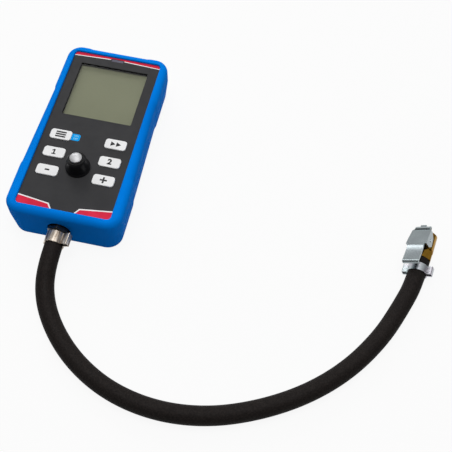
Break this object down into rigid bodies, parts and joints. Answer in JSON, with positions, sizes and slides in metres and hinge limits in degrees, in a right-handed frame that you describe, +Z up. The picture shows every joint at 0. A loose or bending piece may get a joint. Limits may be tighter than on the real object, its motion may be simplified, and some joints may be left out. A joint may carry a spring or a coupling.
{
  "type": "digital pressure gauge",
  "caption": "Handheld digital tyre pressure gauge in a rubber boot, with a keypad, a bleed button and a hose with a clip-on lever chuck.",
  "frame": {"origin": "middle of the gauge's underside, on the surface that it lies on", "axes": "+Z up out of the face, +Y towards the display end, +X to the right of the face"},
  "size_m": [0.3087, 0.2742, 0.0446],
  "materials": {
    "boot_rubber": "satin blue moulded rubber",
    "case_plastic": "fine textured dark plastic",
    "face_film": "matt printed film",
    "lens": "clear polished plastic",
    "display": "grey green liquid crystal cell",
    "smoked_lens": "dark tinted plastic",
    "lamp": "clear tinted resin",
    "key_plastic": "satin pale grey plastic",
    "switch_plastic": "black moulded plastic",
    "board": "green lacquered board",
    "screw_steel": "zinc plated steel",
    "spring_steel": "bright spring wire",
    "battery_wrap": "plain dark wrapper",
    "wire_insulation": "flexible insulation",
    "block_metal": "machined",
    "brass": "turned brass",
    "sensor_steel": "stainless steel",
    "collar_black": "black satin",
    "button_silver": "satin bright metal",
    "seal_rubber": "soft black rubber",
    "nut_black": "glossy black",
    "clamp_steel": "bright pressed steel",
    "hose_rubber": "matt black rubber with a fine cloth grain",
    "zinc_steel": "zinc plated pressed steel"
  },
  "bodies": {
    "gauge": {"air_hose": "hose_rubber", "battery": "battery_wrap", "battery_cover": "case_plastic", "battery_leads": "wire_insulation", "battery_snap": "case_plastic", "bleed_collar": "collar_black", "bleed_spring": "spring_steel", "board_screws": "screw_steel", "case_screws": "screw_steel", "chuck_body": "brass", "chuck_clamp": "zinc_steel", "chuck_seal": "seal_rubber", "circuit_board": "board", "core_pin": "brass", "cover_screw": "screw_steel", "display_frame": "case_plastic", "display_glass": "display", "display_window": "lens", "face_overlay": "face_film", "front_shell": "case_plastic", "indicator_lamp": "lamp", "indicator_window": "smoked_lens", "inlet_clamp": "clamp_steel", "inlet_fitting": "brass", "inlet_nut": "nut_black", "key_switches": "switch_plastic", "lever_pin": "zinc_steel", "lever_spring": "spring_steel", "pressure_sensor": "sensor_steel", "processor_chip": "switch_plastic", "rear_shell": "case_plastic", "rubber_boot": "boot_rubber", "valve_block": "block_metal", "valve_plug": "brass"},
    "menu_key": {"key_menu": "key_plastic"},
    "mode_key": {"key_mode": "key_plastic"},
    "left_memory_key": {"key_memory_left": "key_plastic"},
    "right_memory_key": {"key_memory_right": "key_plastic"},
    "minus_key": {"key_minus": "key_plastic"},
    "plus_key": {"key_plus": "key_plastic"},
    "bleed_plunger": {"bleed_button": "button_silver", "bleed_stem": "brass", "bleed_seal": "seal_rubber"},
    "lever": {"chuck_lever": "zinc_steel"}
  },
  "joints": [
    {"name": "menu_key_press", "type": "slide", "parent": "gauge", "child": "menu_key", "axis": [0, 0, -1], "range_m": [0, 0.0005], "stiffness_N_per_m": 3000},
    {"name": "mode_key_press", "type": "slide", "parent": "gauge", "child": "mode_key", "axis": [0, 0, -1], "range_m": [0, 0.0005], "stiffness_N_per_m": 3000},
    {"name": "left_memory_key_press", "type": "slide", "parent": "gauge", "child": "left_memory_key", "axis": [0, 0, -1], "range_m": [0, 0.0005], "stiffness_N_per_m": 3000},
    {"name": "right_memory_key_press", "type": "slide", "parent": "gauge", "child": "right_memory_key", "axis": [0, 0, -1], "range_m": [0, 0.0005], "stiffness_N_per_m": 3000},
    {"name": "minus_key_press", "type": "slide", "parent": "gauge", "child": "minus_key", "axis": [0, 0, -1], "range_m": [0, 0.0005], "stiffness_N_per_m": 3000},
    {"name": "plus_key_press", "type": "slide", "parent": "gauge", "child": "plus_key", "axis": [0, 0, -1], "range_m": [0, 0.0005], "stiffness_N_per_m": 3000},
    {"name": "bleed_press", "type": "slide", "parent": "gauge", "child": "bleed_plunger", "axis": [0, 0, -1], "range_m": [0, 0.0015], "stiffness_N_per_m": 900, "deforming": ["bleed_spring"]},
    {"name": "lever_turn", "type": "hinge", "parent": "gauge", "child": "lever", "pos_m": [0.25341, -0.03024, 0.01349], "axis": [0.7977, -0.135, 0.5878], "range_deg": [0, 10], "stiffness_Nm_per_rad": 0.5, "deforming": ["lever_spring"]}
  ]
}
